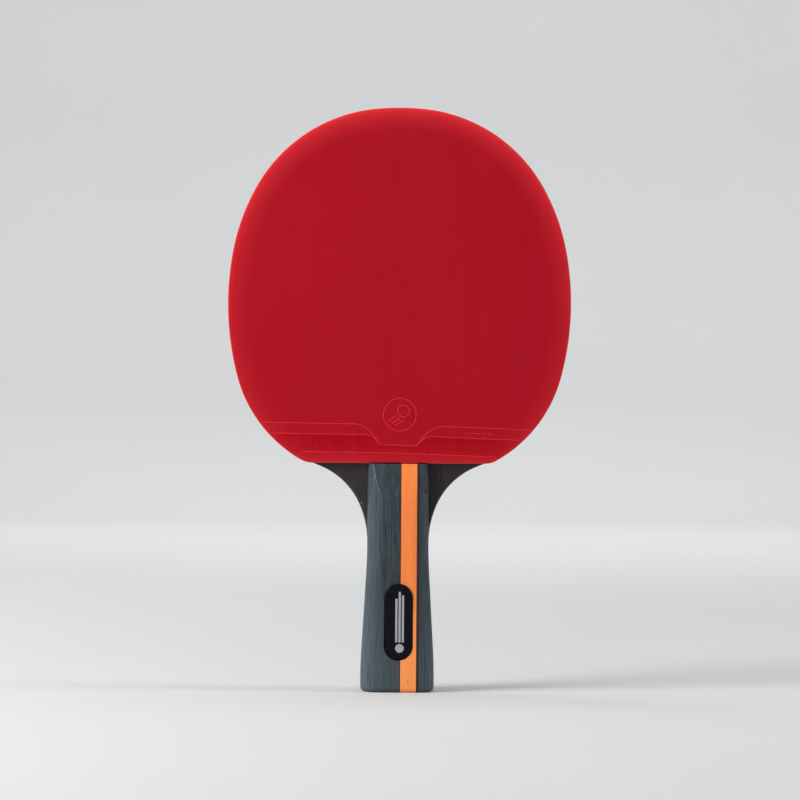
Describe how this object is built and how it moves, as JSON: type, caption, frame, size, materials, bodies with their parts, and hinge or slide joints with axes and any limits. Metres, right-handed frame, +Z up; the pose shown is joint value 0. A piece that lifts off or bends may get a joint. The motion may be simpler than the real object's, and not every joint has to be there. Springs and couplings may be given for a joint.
{
  "type": "table tennis paddle",
  "caption": "Table tennis paddle with a laminated blade, smooth red and black rubbers on sponge, and a flared slate and orange striped wooden handle.",
  "frame": {"origin": "centre of the butt end of the handle, on the mid-plane of the blade", "axes": "+Z up the handle to the tip of the head, +X to the right seen from the red front, +Y out of the black back"},
  "size_m": [0.1506, 0.0247, 0.2564],
  "materials": {
    "red_rubber": "smooth moulded, satin",
    "black_rubber": "smooth moulded, satin",
    "sponge_foam": "fine open cut foam, matt",
    "glue_film": "dried latex glue, satin",
    "stained_veneer": "charcoal stained, sanded, matt",
    "medial_veneer": "sanded edge, matt",
    "core_wood": "sanded edge, matt",
    "slate_wood": "slate stained, sanded, satin",
    "orange_wood": "orange dyed, sanded, satin",
    "dark_veneer": "dark brown dyed, satin",
    "badge_black": "glossy black",
    "badge_silver": "silver screen print, satin",
    "badge_tape": "matt"
  },
  "bodies": {
    "root": {"core_ply": "core_wood", "front_medial_ply": "medial_veneer", "back_medial_ply": "medial_veneer", "front_face_ply": "stained_veneer", "back_face_ply": "stained_veneer", "front_glue_film": "glue_film", "back_glue_film": "glue_film", "front_sponge": "sponge_foam", "back_sponge": "sponge_foam", "front_topsheet": "red_rubber", "back_topsheet": "black_rubber", "front_handle_left_block": "slate_wood", "front_handle_left_veneer": "dark_veneer", "front_handle_orange_strip": "orange_wood", "front_handle_right_veneer": "dark_veneer", "front_handle_right_block": "slate_wood", "back_handle_left_block": "slate_wood", "back_handle_left_veneer": "dark_veneer", "back_handle_orange_strip": "orange_wood", "back_handle_right_veneer": "dark_veneer", "back_handle_right_block": "slate_wood", "badge_adhesive": "badge_tape", "badge_plate": "badge_black", "badge_emblem": "badge_silver"}
  },
  "joints": []
}
